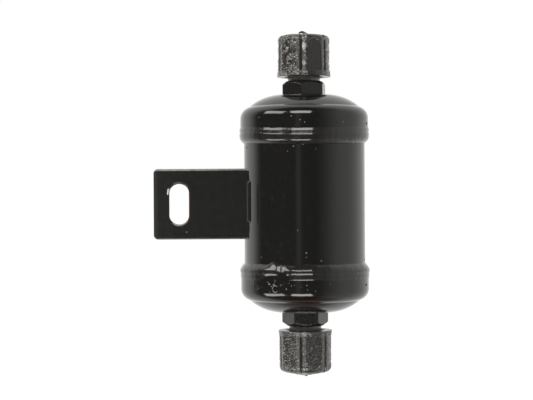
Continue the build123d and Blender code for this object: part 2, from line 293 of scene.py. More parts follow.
# The pale colour of the painted edge highlights.
ground = bench.blend(edge_highlights * 0.85, ground, (0.26, 0.255, 0.235, 1))
ground = bench.blend(dot * 0.6, ground, (0.12, 0.12, 0.115, 1))
bracket_paint = close(
    height=peel * 0.35 + waves * 4.0 + (chip + dot) * 1.5,
    Base_Color=bench.blend(chip, ground, (0.50, 0.49, 0.46, 1)),
    Roughness=bench.fade(scuffs, 0.3, 0.7, 0.18, 0.25),
)

# %% [markdown]
# Where a bubble or a drop broke the wet paint, the coat dried thin and chalky, so its own finish is pale
# and dull. Its pale colour is also a painted highlight for the small drops and the ring.

# %% Dry paint, pale also as a painted highlight
bench, place, close = new_finish("pale_paint_and_highlight")
chalk = bench.noise(place, 1100, 3.0, 0.6)
pale_paint_and_highlight = close(
    height=chalk,
    depth=0.00003,
    # Pale both as chalky paint and as a painted highlight on the drops and the ring.
    Base_Color=bench.blend(bench.fade(chalk, 0.35, 0.65), (0.03, 0.029, 0.027, 1), (0.20, 0.193, 0.18, 1)),
    Roughness=bench.fade(chalk, 0.3, 0.7, 0.2, 0.45),
)

# %% [markdown]
# The weld beads carry the same paint over a rougher surface, so their orange peel is deeper and broken by
# pores.

# %% Paint over weld metal
bench, place, close = new_finish("painted_weld")
grain = bench.noise(place, 900, 3.0, 0.6)
lumps = bench.noise(place, 260, 2.0)
weld_paint = close(
    height=grain * 0.5 + lumps * 2.0,
    depth=0.00004,
    Base_Color=bench.blend(lumps, (0.0075, 0.0073, 0.007, 1), (0.017, 0.0165, 0.0155, 1)),
    Roughness=bench.fade(grain, 0.3, 0.8, 0.10, 0.26),
)

# %% [markdown]
# Each fitting is turned from hexagon bar and painted with the can. Paint lies thin on it, and the
# cutter's marks still show as fine rings, so the bump mixes a fine noise with one that is drawn out round
# the axis. Past the hexagon the colour turns to a light grey on the neck.

# %% Painted fitting
bench, place, close = new_finish("painted_fitting")
stretch = bench.add("ShaderNodeMapping", {"Vector": place, "Scale": (0.15, 0.15, 1.0)})
rings = bench.noise(stretch["Vector"], 2600, 2.0)
speckle = bench.noise(place, 1300, 4.0, 0.65)
height = bench.parts(place)[2].turn("ABSOLUTE") * TO_MM
neck = bench.fade(height, 66.5, 66.9) * (speckle * 0.6 + 0.5)
paint = bench.blend(speckle, (0.005, 0.005, 0.0052, 1), (0.026, 0.025, 0.023, 1))
fitting_paint = close(
    height=rings * 0.25 + speckle * 0.8,
    depth=0.00003,
    Base_Color=bench.blend(neck, paint, (0.19, 0.18, 0.165, 1)),
    Roughness=bench.fade(speckle, 0.35, 0.7, 0.12, 0.3),
)

# %% [markdown]
# The caps are moulded in black plastic, and the paint that caught them has dried in wrinkles. The
# wrinkles themselves are modelled, further down, and hand over two values: `fold` is high on a crest, and
# `rib` on a rib and round the arch of a panel. Both grey the skin here, `rib` as a painted highlight on the
# ribs and arches. A fine noise roughens the skin, and two places on the front rib of the upper cap get a
# pale painted highlight.

# %% Wrinkled cap
bench, place, close = new_finish("wrinkled_cap")
fold = bench.add("ShaderNodeAttribute", attribute_name="fold")["Fac"]
ridges = bench.noise(place, 620, 3.0, 0.6, noise_type="RIDGED_MULTIFRACTAL")
fine = bench.noise(place, 1500, 3.0, 0.6)
# rib carries the painted highlight of the ribs and of the arches over the panels.
rib = bench.add("ShaderNodeAttribute", attribute_name="rib")["Fac"]
x, y, z = bench.parts(place)
# Painted highlight: two pale spots on the front rib of the upper cap, facing the camera.
rib_highlight_x = ((x - AXIS_X) * TO_MM + 0.3) / 0.95
rib_front_highlight = bench.oval(rib_highlight_x, (z * TO_MM - 84.7) / 2.3, 0.5, 1.3)
rib_front_highlight = rib_front_highlight + bench.oval(rib_highlight_x, (z * TO_MM - 75.8) / 1.5, 0.4, 1.3, 0.6)
rib_front_highlight = rib_front_highlight * bench.fade(AXIS_Y - y, 0.004, 0.008) * bench.fade(fine, 0.3, 0.6, 0.6, 1.0)
crest = bench.fade(fold * 0.7 + bench.fade(ridges, 0.5, 1.6) * 0.4 + rib * 0.35, 0.0, 1.25)
skin = bench.blend(crest, (0.019, 0.018, 0.0172, 1), (0.18, 0.17, 0.16, 1))
cap_plastic = close(
    height=ridges + fine * 0.8,
    depth=0.00006,
    Base_Color=bench.blend(rib_front_highlight, skin, (0.36, 0.35, 0.33, 1)),
    Roughness=bench.fade(fine, 0.3, 0.75, 0.16, 0.34),
    Coat_Weight=bench.fade(fold, 0.1, 0.7, 0.1, 0.8),
    Coat_Roughness=0.12,
)

# %% [markdown]
# The remaining parts are inside the canister or under the caps. They are finished as well, because a
# cutaway or a lifted cap shows them: rubber seals, braze, zinc-plated plates, spring wire, woven screen,
# felt and desiccant. Each takes a dark and a light colour, the number of features a metre, and how rough
# and how metallic it is.


# %% Finishes of the inner parts
def plain_finish(name, dark, light, scale, roughness, metallic=0.0, depth=0.00003, stretch=(1, 1, 1)):
    """A two-tone noise finish with a bump of the same pattern."""
    bench, place, close = new_finish(name)
    turned = bench.add("ShaderNodeMapping", {"Vector": place, "Scale": stretch})["Vector"]
    pattern = bench.noise(turned, scale, 4.0, 0.6)
    colour = bench.blend(pattern, (*dark, 1), (*light, 1))
    rough = bench.fade(pattern, 0.3, 0.7, roughness - 0.07, roughness + 0.07)
    return close(height=pattern, depth=depth, Base_Color=colour, Roughness=rough, Metallic=metallic)


rubber = plain_finish("seal_rubber", (0.018, 0.018, 0.019), (0.035, 0.034, 0.034), 1800, 0.62)
braze = plain_finish("braze", (0.55, 0.42, 0.2), (0.72, 0.6, 0.34), 700, 0.38, 1.0)
plated = plain_finish("plated_steel", (0.42, 0.42, 0.4), (0.6, 0.6, 0.57), 500, 0.34, 1.0, 0.00002)
spring = plain_finish("spring_wire", (0.3, 0.29, 0.28), (0.46, 0.45, 0.43), 900, 0.3, 1.0, 0.00002)
felt = plain_finish("filter_felt", (0.6, 0.57, 0.5), (0.8, 0.78, 0.71), 1500, 0.9, 0.0, 0.0002, (1, 1, 3))
desiccant = plain_finish("desiccant", (0.5, 0.42, 0.33), (0.72, 0.64, 0.53), 1100, 0.85, 0.0, 0.00025)

bench, place, close = new_finish("woven_screen")
x, y, z = bench.parts(place)
warp, weft = (x * 9000).turn("SINE"), (y * 9000).turn("SINE")
weave = bench.fade(warp * weft, -0.4, 0.6)
mesh_colour = bench.blend(weave, (0.06, 0.06, 0.06, 1), (0.62, 0.61, 0.58, 1))
screen = close(height=weave, depth=0.0001, Base_Color=mesh_colour, Roughness=0.35, Metallic=1.0)
print("finishes", len(bpy.data.materials))

# %% Give the frame's nodes their finishes
NODES_OF_FINISH = [
    (enamel, ["can_tube", "upper_end_cup", "lower_end_cup"]),
    (bracket_paint, ["bracket_plate"]),
    (weld_paint, ["bracket_weld_front", "bracket_weld_rear"]),
    (braze, ["inlet_braze_ring", "outlet_braze_ring"]),
    (rubber, ["inlet_cap_seal", "outlet_cap_seal"]),
    (plated, ["support_plate", "pressure_plate"]),
    (screen, ["outlet_screen"]),
    (felt, ["lower_filter_pad", "upper_filter_pad"]),
    (desiccant, ["desiccant_core"]),
    (spring, ["compression_spring"]),
]
for material, names in NODES_OF_FINISH:
    for name in names:
        for material_slot in nodes[name].material_slots:
            material_slot.material = material
print("finished nodes", sum(len(names) for material, names in NODES_OF_FINISH))

# %% [markdown]
# ## Turned meshes
# Beads, fittings and caps are all turned shapes with something added: flats, grooves or waves.
# `turn_mesh` walks a half section round the axis on a fine grid, and lets a function change each point's
# radius on the way. So a hexagon is a turned bar whose radius may not pass six flats, and a groove is a
# dip in the radius.


# %% Turn a half section round the canister's axis
def turn_mesh(
    name, section, columns, first_angle=0.0, radius_at=None, height_at=None, upside_down=False, ring=False
):
    """A closed mesh from rows of (radius, height) in millimetres; a ring's section closes on itself."""
    section = np.array(section, float)
    angles = first_angle + np.arange(columns) * 2 * pi / columns
    radii, heights = np.meshgrid(section[:, 0], angles)[0].T, np.meshgrid(section[:, 1], angles)[0].T
    turned = np.broadcast_to(angles, radii.shape)
    if radius_at is not None:
        radii = radius_at(radii, heights, turned)
    if height_at is not None:
        heights = height_at(radii, heights, turned)
    side = -1 if upside_down else 1
    x = AXIS_X + radii * np.cos(turned) * MM
    y = AXIS_Y + radii * np.sin(turned) * MM
    points = np.stack([x, y, side * heights * MM], axis=-1).reshape(-1, 3)
    mesh = bpy.data.meshes.new(name)
    mesh.from_pydata(points.tolist(), [], grid_faces(len(section), columns, ring))
    tidy_mesh(mesh)
    return mesh


def grid_faces(rows, columns, closed):
    """The quads of a grid that runs round; a closed one also joins its last row to its first."""
    faces = []
    for row in range(rows if closed else rows - 1):
        lower, upper = row * columns, (row + 1) % rows * columns
        for column in range(columns):
            beside = (column + 1) % columns
            faces.append((lower + column, lower + beside, upper + beside, upper + column))
    return faces


def tidy_mesh(mesh):
    """Merges what coincides, as at a pole, points every face outwards and shades it smooth."""
    work = bmesh.new()
    work.from_mesh(mesh)
    bmesh.ops.remove_doubles(work, verts=work.verts, dist=1e-7)
    bmesh.ops.dissolve_degenerate(work, edges=work.edges, dist=1e-8)
    bmesh.ops.recalc_face_normals(work, faces=work.faces)
    work.to_mesh(mesh)
    work.free()
    mesh.polygons.foreach_set("use_smooth", [True] * len(mesh.polygons))


def flip_down(mesh):
    """Turns an upper part over, about a line through the axis along X, so that it serves below."""
    for vertex in mesh.vertices:
        vertex.co.y = 2 * AXIS_Y - vertex.co.y
        vertex.co.z = -vertex.co.z
    mesh.update()


def put(name, data):
    """A new object in the scene, at the origin."""
    thing = bpy.data.objects.new(name, data)
    bpy.context.scene.collection.objects.link(thing)
    return thing


def plain_mesh(holder):
    """What an object comes to once its curve or modifier is worked out; the object itself is removed."""
    graph = bpy.context.evaluated_depsgraph_get()
    mesh = bpy.data.meshes.new_from_object(holder.evaluated_get(graph), depsgraph=graph)
    bpy.data.objects.remove(holder)
    return mesh


def rows_between(start, end, step):
    """Points along a straight line of the half section, one every step millimetres, without the last."""
    start, end = np.array(start, float), np.array(end, float)
    count = max(1, round(float(np.linalg.norm(end - start)) / step))
    return [tuple(start + (end - start) * k / count) for k in range(count)]


def outline(corners, step):
    """A half section through corners, cut into rows."""
    rows = []
    for start, end in zip(corners[:-1], corners[1:]):
        rows += rows_between(start, end, step)
    return rows + [corners[-1]]


def nearest_facet(angles, turn):
    """Angle from the middle of the nearest of six flats, where a corner stands at turn."""
    pitch = pi / 3
    return (angles - turn) % pitch - pitch / 2


print("turning ready")

# %% [markdown]
# ## Geometry Nodes on a bench
# What repeats or follows a surface is grown by Geometry Nodes: ripples on a bead, thread on a stem,
# wrinkles on a cap, spatter on a wall. `new_growth` opens a tree with named inputs, and `grow` runs it on
# a mesh, then keeps the result as a plain mesh. An input is set by its socket's identifier before the
# object is first evaluated.


# %% Open a tree, and run one
def new_growth(name, **sizes):
    """A Geometry Nodes tree, its bench, the incoming geometry and one wire for each named size."""
    tree = bpy.data.node_groups.new(name, "GeometryNodeTree")
    tree.interface.new_socket("Geometry", in_out="INPUT", socket_type="NodeSocketGeometry")
    for size, value in sizes.items():
        kind = "NodeSocketInt" if isinstance(value, int) else "NodeSocketFloat"
        tree.interface.new_socket(size, in_out="INPUT", socket_type=kind).default_value = value
    tree.interface.new_socket("Finish", in_out="INPUT", socket_type="NodeSocketMaterial")
    tree.interface.new_socket("Geometry", in_out="OUTPUT", socket_type="NodeSocketGeometry")
    bench = Bench(tree)
    entry = bench.add("NodeGroupInput")

    def close(geometry):
        real = bench.add("GeometryNodeRealizeInstances", {"Geometry": geometry})["Geometry"]
        painted = bench.add("GeometryNodeSetMaterial", {"Geometry": real, "Material": entry["Finish"]})
        bench.add("NodeGroupOutput", {"Geometry": painted["Geometry"]})
        return tree

    return bench, entry, close


def grow(name, mesh, tree, finish, **sizes):
    """Runs a tree on a mesh and returns the result as an object of its own."""
    base = put(name + "_base", mesh)
    modifier = base.modifiers.new("growth", "NODES")
    modifier.node_group = tree
    for item in tree.interface.items_tree:
        if item.in_out == "INPUT" and item.name in sizes:
            modifier[item.identifier] = sizes[item.name]
        if item.in_out == "INPUT" and item.name == "Finish":
            modifier[item.identifier] = finish
    grown = plain_mesh(base)
    grown.name = name
    print(name, "faces", len(grown.polygons))
    return put(name, grown)


# %% [markdown]
# ## Weld beads
# Each bead that joins cup and tube is a ring with a rounded lip on the cup, a shallow groove where two
# passes meet, a crest, and a face that slopes in to its toe on the tube. The two were laid by hand and
# differ, so each has a section of its own, in steps outward from the cup's wall and heights from the
# middle. The ring is turned from it, and the tree then lets it wander up and down, shrink a little in
# places, and ripple. The upper bead sags in front, and the lower one has a knot where it was started and
# ended.

# %% Sections of the seam beads
UPPER_SECTION = [
    (-0.35, 41.6), (-0.06, 41.3), (0.01, 41.05), (0.15, 40.6), (0.29, 40.15), (0.41, 39.75), (0.46, 39.4),
    (0.39, 38.9), (0.24, 38.6), (0.20, 38.35), (0.26, 38.1), (0.40, 37.7), (0.44, 37.4), (0.45, 36.8),
    (0.42, 36.0), (0.34, 35.4), (0.18, 34.8), (-0.10, 34.2), (-0.50, 33.6), (-1.10, 33.0), (-1.65, 32.5),
    (-2.30, 32.1), (-2.30, 36.8), (-0.60, 37.2),
]
LOWER_SECTION = [
    (-0.35, 41.1), (-0.05, 40.7), (0.02, 40.5), (0.11, 40.25), (0.18, 39.9), (0.21, 39.4), (0.20, 38.8),
    (0.18, 38.3), (0.17, 37.95), (0.20, 37.65), (0.28, 37.35), (0.37, 37.05), (0.43, 36.7), (0.45, 36.35),
    (0.43, 35.95), (0.34, 35.5), (0.14, 35.05), (-0.20, 34.5), (-0.65, 33.85), (-1.15, 33.15),
    (-1.60, 32.65), (-1.90, 32.25), (-2.08, 31.9), (-2.18, 31.55), (-2.24, 31.2), (-2.45, 31.1),
    (-2.45, 36.8), (-0.60, 37.2),
]

# %% A tree that makes a bead wander and ripple
KNOT = (AXIS_X - 0.0165, AXIS_Y - 0.031, -0.0380)
BEAD_SIZES = {"Wander": 0.35, "Swell": 0.08, "Ripple": 0.012, "Sag": 0.0, "Knot": 0.0, "Seed": 1.0}
bench, entry, close = new_growth("bead_growth", **BEAD_SIZES)
place = bench.add("GeometryNodeInputPosition")["Position"]
x, y, z = bench.parts(place)
out_x = (x - AXIS_X) / (TUBE_RADIUS * MM)
out_y = (y - AXIS_Y) / (TUBE_RADIUS * MM)
ring_place = bench.vector(out_x, out_y, entry["Seed"] * 7.3)
drift = bench.noise(ring_place, 3.2, 3.0, 0.6) - 0.5
fat = bench.noise(ring_place, 7.0, 3.0, 0.6) - 0.5
angle = out_x.turn("ARCTAN2", out_y)
slant = bench.fade(z.turn("ABSOLUTE"), 0.032, 0.0415, 0, 2.2)
ripple = (angle * 64 + slant + drift * 6).turn("SINE") * entry["Ripple"]
lumps = bench.noise(place, 135, 0.0, 0.5) - 0.5
knot = bench.fade(bench.distance(place, KNOT), 0.005, 0.013, 1.0, 0.0) * entry["Knot"]
hollows = fat.turn("MINIMUM", 0.0) * entry["Swell"] * 4
dents = (lumps * knot * 3).turn("MINIMUM", 0.0)
grow_out = (hollows + ripple - 0.012 + dents) * MM
front = (0 - out_y).turn("MAXIMUM", 0.0) ** 2
sagged = z.turn("SIGN") * (front * 1.5 - 0.4) * entry["Sag"]
lift = (drift * entry["Wander"] * 2 - sagged + lumps * knot * 7) * MM
offset = bench.vector(out_x * grow_out, out_y * grow_out, lift)
moved = bench.add("GeometryNodeSetPosition", {"Geometry": entry["Geometry"], "Offset": offset})
bead_growth = close(moved["Geometry"])

# %% Lay both beads
BEADS = {
    "upper": (UPPER_SECTION, {"Wander": 0.25, "Sag": 1.0, "Knot": 0.0, "Seed": 1.0}),
    "lower": (LOWER_SECTION, {"Wander": 0.5, "Sag": 0.1, "Knot": 1.0, "Seed": 4.0}),
}
for side, (steps, sizes) in BEADS.items():
    section = [(CUP_RADIUS + out, height) for out, height in steps]
    ring = turn_mesh(side + "_ring", section, 420, upside_down=(side == "lower"), ring=True)
    bead = grow(side + "_seam_bead", ring, bead_growth, weld_paint, **sizes)
    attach(bead, "canister")
    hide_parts(side + "_weld_bead")

# %% [markdown]
# ## Spatter
# Welding throws small drops that freeze on the wall beside the bead, and the paint covers them. They are
# scattered over a belt round each bead, which is only a guide and is dropped. They lie thickest where the
# lower bead was started and ended, and thin out round the can. Squaring a random size makes most drops
# small.

# %% A tree that scatters drops
bench, entry, close = new_growth("spatter", Density=20000.0, Drop=0.75, Seed=1)
place = bench.add("GeometryNodeInputPosition")["Position"]
start_point = bench.vector(AXIS_X - 0.019, AXIS_Y - 0.030, -0.043)
far = bench.distance(place, start_point)
crowd = bench.fade(far, 0.006, 0.016, 14.0, 0.0) + bench.fade(far, 0.02, 0.09, 1.4, 0.35)
belt = {"Mesh": entry["Geometry"], "Density": crowd * entry["Density"], "Seed": entry["Seed"]}
points = bench.add("GeometryNodeDistributePointsOnFaces", belt)
ball = bench.add("GeometryNodeMeshIcoSphere", {"Radius": 0.001, "Subdivisions": 2})["Mesh"]
chance = {"Min_001": 0.3, "Max_001": 1.0, "Seed": entry["Seed"]}
size = bench.add("FunctionNodeRandomValue", chance)["Value_001"]
size = size * size * entry["Drop"]
drops = bench.add(
    "GeometryNodeInstanceOnPoints",
    {
        "Points": points["Points"],
        "Instance": ball,
        "Rotation": points["Rotation"],
        "Scale": bench.vector(size, size * 1.2, size * 0.7),
    },
)
spatter = close(drops["Instances"])

# %% Scatter them beside the beads
belt_rows = [(TUBE_RADIUS, 26.0), (TUBE_RADIUS, 32.0), (TUBE_RADIUS, 32.05)]
belt_rows += [(CUP_RADIUS, 41.5), (CUP_RADIUS, 46.4)]
for side, seed in (("upper", 5), ("lower", 9)):
    belt = turn_mesh(side + "_belt", belt_rows, 90, upside_down=(side == "lower"))
    drops = grow(side + "_spatter", belt, spatter, enamel, Density=9000.0, Seed=seed)
    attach(drops, "canister")

# %% [markdown]
# ## Flare fittings
# The fitting is one turned piece: spigot, hexagon, relief, thread, 45 degree flare and bore. The
# hexagon's corners are cut back by a cone, which leaves the curved line on each flat that every turned
# nut shows. The thread is a separate ridge, swept along a spiral on a core of the thread's root size.
# Both fittings are made as the upper one, and the lower one is then turned over.

# %% Sizes of the fittings
ACROSS_FLATS = 22.0
HEX_TOP_Z = CROWN_Z + 7.4
HEX_FACE = 9.8
HEX_CORNER = ACROSS_FLATS / 2 / cos(pi / 6)
CHAMFER = tan(radians(36))
THREAD_PITCH = 25.4 / 16
THREAD_ROOT = 8.62
THREAD_CREST = 9.52
THREAD_START_Z = HEX_TOP_Z + 3.2
FLARE_START_Z = NOSE_Z - 2.6
BORE = 5.1
RELIEF = 8.8
THREAD_SIZES = {"Pitch": THREAD_PITCH, "Length": 13.2, "Root": 9.0, "Depth": 0.95}


# %% Turn a fitting with its hexagon
def fitting_mesh(name, corner_turn):
    def radius_at(radii, heights, angles):
        flat = ACROSS_FLATS / 2 / np.cos(nearest_facet(angles, corner_turn))
        cone = HEX_FACE + (HEX_TOP_Z - heights) / CHAMFER
        hexagon = np.minimum(flat, np.minimum(cone, HEX_CORNER - 0.12))
        return np.where(radii > THREAD_CREST + 0.5, hexagon, radii)

    wide = HEX_CORNER
    section = [(BORE, SPIGOT_Z), (8.0, SPIGOT_Z), (8.0, CROWN_Z - 0.01)]
    section += rows_between((wide, CROWN_Z), (wide, HEX_TOP_Z), 0.18)
    section += [(wide, HEX_TOP_Z), (RELIEF, HEX_TOP_Z + 0.01), (RELIEF, HEX_TOP_Z + 0.25)]
    section += outline([(RELIEF, THREAD_START_Z - 0.9), (THREAD_ROOT, THREAD_START_Z - 0.4)], 0.3)
    section += [(THREAD_ROOT, FLARE_START_Z), (8.5, FLARE_START_Z + 0.3), (6.2, NOSE_Z - 0.06)]
    section += [(6.1, NOSE_Z), (5.3, NOSE_Z), (BORE, NOSE_Z - 0.2), (BORE, SPIGOT_Z)]
    return turn_mesh(name, section, 240, first_angle=corner_turn, radius_at=radius_at)


# %% A tree that winds the thread
bench, entry, close = new_growth("thread", **THREAD_SIZES)
turns = entry["Length"] / entry["Pitch"]
path = bench.add(
    "GeometryNodeCurveSpiral",
    {
        "Resolution": 64,
        "Rotations": turns,
        "Start Radius": entry["Root"] * MM,
        "End Radius": entry["Root"] * MM,
        "Height": entry["Length"] * MM,
    },
)["Curve"]
upright = bench.add("GeometryNodeSetCurveNormal", {"Curve": path}, mode="Z_UP")["Curve"]
ridge = bench.add(
    "GeometryNodeCurvePrimitiveQuadrilateral",
    {
        "Height": entry["Depth"] * MM,
        "Bottom Width": entry["Pitch"] * 0.9 * MM,
        "Top Width": entry["Pitch"] * 0.14 * MM,
        "Offset": 0.0,
    },
    mode="TRAPEZOID",
)["Curve"]
quarter = bench.vector(z=pi / 2)
ridge = bench.add("GeometryNodeTransform", {"Geometry": ridge, "Rotation": quarter})["Geometry"]
swept = {"Curve": upright, "Profile Curve": ridge, "Fill Caps": True}
wound = bench.add("GeometryNodeCurveToMesh", swept)["Mesh"]
thread_foot = bench.vector(AXIS_X, AXIS_Y, (THREAD_START_Z + 0.5) * MM)
placed = bench.add("GeometryNodeTransform", {"Geometry": wound, "Translation": thread_foot})["Geometry"]
both = bench.add("GeometryNodeJoinGeometry", {"Geometry": placed})
bench.tree.links.new(entry["Geometry"].socket, both.node.inputs[0])
thread_growth = close(both["Geometry"])

# %% Make both fittings
for side, corner_turn in (("inlet", -39.0), ("outlet", 58.0)):
    core = fitting_mesh(side + "_core", radians(corner_turn))
    piece = grow(side + "_flare_fitting", core, thread_growth, fitting_paint)
    if side == "outlet":
        flip_down(piece.data)
    tidy_mesh(piece.data)
    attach(piece, "canister")
    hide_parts(side + "_fitting")

# %% [markdown]
# ## Screw caps
# A cap has a flared rim, a slightly tapered wall with six finger flats under arched tops, and a narrow
# groove down each rib between them. It is turned on a fine grid whose radius may not pass the flats, with
# a dip for each groove. Inside, the same grid carries the screw thread as a spiral dip. How strongly a
# place wrinkles is stored on the mesh, and the tree reads it. One panel of the upper cap came out smooth.
# Its other folds are wide and loose, and those of the lower cap are fine and close. In the table of caps,
# angles are in degrees, `sag` is how far the end bulges, and `patches` is how unevenly the skin wrinkled.

# %% Sizes of the caps
CAP_END_Z = SEAL_TOP_Z + 2.2
CAP_FLATS = 27.0
CAP_PANEL_Z = CAP_RIM_Z + 2.8
GROOVE_WIDTH = 1.4
GROOVE_DEPTH = 1.1
CAP_BORE = 9.625
CAP_END_ROUND = 2.8
GROOVE_STARTS_AT = 10.75


# %% Turn a cap
def arch_depth(from_flat, heights):
    """How far a point lies under the arched top of its finger flat, in millimetres."""
    return CAP_END_Z - 1.9 - 4.2 * (from_flat / 0.345) ** 2 - heights


def cap_mesh(name, rib_turn, sag):
    round_middle = CAP_END_Z - CAP_END_ROUND
    end_round = [
        (11.36 + CAP_END_ROUND * cos(turn), round_middle + CAP_END_ROUND * sin(turn))
        for turn in np.linspace(0, pi / 2, 15)
    ]
    wall = outline([(14.5, CAP_RIM_Z), (14.6, CAP_RIM_Z + 0.3), (14.37, CAP_RIM_Z + 2.2)], 0.25)
    wall += outline([(14.35, CAP_RIM_Z + 2.3), (14.34, CAP_PANEL_Z - 0.03)], 0.25)
    wall += outline([(14.34, CAP_PANEL_Z + 0.03), (14.17, CAP_END_Z - 2.85)], 0.24)
    end_face = rows_between((11.2, CAP_END_Z), (0.0, CAP_END_Z), 0.4) + [(0.0, CAP_END_Z)]
    bore = [(0.0, SEAL_TOP_Z), (CAP_BORE, SEAL_TOP_Z)]
    bore += outline([(CAP_BORE, SEAL_TOP_Z - 0.6), (CAP_BORE, CAP_RIM_Z + 2.8)], 0.2)
    mouth = [(10.7, CAP_RIM_Z + 1.6), (10.7, CAP_RIM_Z + 0.2), (10.9, CAP_RIM_Z), (14.3, CAP_RIM_Z)]
    section = [(14.5, CAP_RIM_Z)] + wall[1:] + end_round + end_face + bore + mouth + [(14.5, CAP_RIM_Z)]

    def radius_at(radii, heights, angles):
        from_flat = nearest_facet(angles, rib_turn)
        flat = CAP_FLATS / 2 / np.cos(from_flat)
        across = radii * np.sin(pi / 6 - np.abs(from_flat))
        dip = GROOVE_DEPTH * np.clip(1.9 - 1.9 * np.abs(across) / (GROOVE_WIDTH / 2), 0, 1)
        cut = (radii > GROOVE_STARTS_AT) & (heights > CAP_PANEL_Z)
        under_arch = np.clip(arch_depth(from_flat, heights) / 0.45, 0, 1)
        border = 0.14 * np.clip(1 - np.abs(radii - flat) / 0.2, 0, 1) * under_arch
        shaped = radii - np.maximum(radii - flat, 0) * under_arch + border
        shaped = shaped - dip * np.clip(radii - GROOVE_STARTS_AT, 0, 1)
        radii = np.where(cut, shaped, radii)
        in_bore = (np.abs(radii - CAP_BORE) < 1e-3) & (heights < SEAL_TOP_Z - 0.5)
        wave = np.abs(((heights / THREAD_PITCH + angles / (2 * pi)) % 1.0) * 2 - 1)
        return np.where(in_bore, radii + 0.75 * np.clip(1.25 - 1.6 * wave, 0, 1), radii)

    def height_at(radii, heights, angles):
        on_end = heights > CAP_END_Z - 2.9
        return heights + np.where(on_end, sag * np.clip(1 - radii / 12.5, 0, 1), 0)

    return turn_mesh(name, section, 300, rib_turn, radius_at, height_at)


def wrinkle_map(mesh, rib_turn, smooth_side, smooth_share, patches):
    """Stores how strongly each point wrinkles: fully on panels, less on ribs, little on a smooth panel."""
    points = np.empty(len(mesh.vertices) * 3)
    mesh.vertices.foreach_get("co", points)
    x, y, height = points.reshape(-1, 3).T
    x, y, height = (x - AXIS_X) / MM, (y - AXIS_Y) / MM, height / MM
    radius, angle = np.hypot(x, y), np.arctan2(y, x)
    from_flat = nearest_facet(angle, rib_turn)
    on_rib = np.clip((np.abs(from_flat) - 0.30) / 0.06, 0, 1)
    across = np.abs(radius * np.sin(pi / 6 - np.abs(from_flat)))
    in_groove = np.clip(1.6 - 1.6 * across / GROOVE_WIDTH * 1.4, 0, 1)
    patchy = 1 - patches + patches * np.sin(height * 0.9 + 2.2 * np.sin(angle * 7) + rib_turn * 9)
    amount = patchy * (1 - 0.4 * on_rib) * (1 - 0.8 * in_groove)
    height = np.abs(height)
    turn = (angle - smooth_side + pi) % (2 * pi) - pi
    smooth = np.clip((0.36 - np.abs(turn - 0.06)) / 0.05, 0, 1)
    amount *= 1 - (1 - smooth_share) * smooth
    outside = (radius > 10.9) | (height > SEAL_TOP_Z + 1)
    low = np.clip((height - CAP_RIM_Z) / 0.5, 0, 1)
    depth = arch_depth(from_flat, height)
    arch = np.clip(1 - np.abs(depth - 0.2) / 0.5, 0, 1) * (np.abs(from_flat) < 0.4)
    # The rib value is a painted highlight on the ribs and round the arches of the panels.
    rib_and_arch_highlight = np.maximum(on_rib * (1 - in_groove), arch * 1.3) * outside
    for label, value in (("wrinkle", amount * outside * low), ("rib", rib_and_arch_highlight)):
        attribute = mesh.attributes.new(label, "FLOAT", "POINT")
        attribute.data.foreach_set("value", value.astype(np.float32))


# %% A tree that wrinkles a skin
bench, entry, close = new_growth("wrinkles", Depth=0.12, Scale=300.0, Push=4.0, Narrow=11.0, Seed=1.0)
place = bench.add("GeometryNodeInputPosition")["Position"]
shift = bench.vector(entry["Seed"], 0.0, entry["Seed"])
spot = bench.added(place, shift)
warp = bench.add("ShaderNodeTexNoise", {"Vector": spot, "Scale": 160.0, "Detail": 2.0})["Color"]
bent = bench.added(spot, bench.scaled(warp, entry["Push"] * MM))
winding = bench.noise(bent, entry["Scale"], 2.0, 0.5)
fold = 1 - ((winding - 0.5).turn("ABSOLUTE") * entry["Narrow"]).turn("MINIMUM", 1.0)
small = bench.noise(bent, entry["Scale"] * 2.6, 2.0, 0.5)
pucker = 1 - ((small - 0.5).turn("ABSOLUTE") * (entry["Narrow"] - 2)).turn("MINIMUM", 1.0)
stored = bench.add("GeometryNodeInputNamedAttribute", {"Name": "wrinkle"}, data_type="FLOAT")
amount = stored["Attribute"]
folds = (fold + pucker * 0.5).turn("MINIMUM", 1.2) * amount
rise = (folds - 0.75 * amount) * entry["Depth"] * MM
normal = bench.add("GeometryNodeInputNormal")["Normal"]
offset = bench.scaled(normal, rise)
named = {"Geometry": entry["Geometry"], "Name": "fold", "Value": folds}
marked = bench.add("GeometryNodeStoreNamedAttribute", named, data_type="FLOAT", domain="POINT")
moved = bench.add("GeometryNodeSetPosition", {"Geometry": marked["Geometry"], "Offset": offset})
wrinkles = close(moved["Geometry"])

# %% Make both caps
CAPS = {
    "inlet": {
        "rib_turn": -38.0, "smooth_side": -30.0, "smooth_share": 0.12, "patches": 0.24, "sag": 0.3,
        "folds": {"Depth": 0.4, "Scale": 360.0, "Push": 3.0, "Narrow": 13.0, "Seed": 1.0},
    },
    "outlet": {
        "rib_turn": 41.0, "smooth_side": 30.0, "smooth_share": 0.95, "patches": 0.1, "sag": 2.6,
        "folds": {"Depth": 0.3, "Scale": 720.0, "Push": 1.2, "Narrow": 24.0, "Seed": 3.0},
    },
}
for side, cap in CAPS.items():
    rib_turn = radians(cap["rib_turn"])
    smooth_side = rib_turn + radians(cap["smooth_side"])
    blank = cap_mesh(side + "_cap_blank", rib_turn, cap["sag"])
    wrinkle_map(blank, rib_turn, smooth_side, cap["smooth_share"], cap["patches"])
    piece = grow(side + "_screw_cap", blank, wrinkles, cap_plastic, **cap["folds"])
    if side == "outlet":
        flip_down(piece.data)
    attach(piece, side + "_cap")
    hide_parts(side + "_cap")

# %% [markdown]
# Where the plastic was broken off the mould, each cap keeps the stub of its gate. On the upper cap it
# bent over and hardened as a small hook, and on the lower cap paint has run down it to a drip. Each is a
# curve with a bevel that tapers, and the same function makes two of the small marks further down.


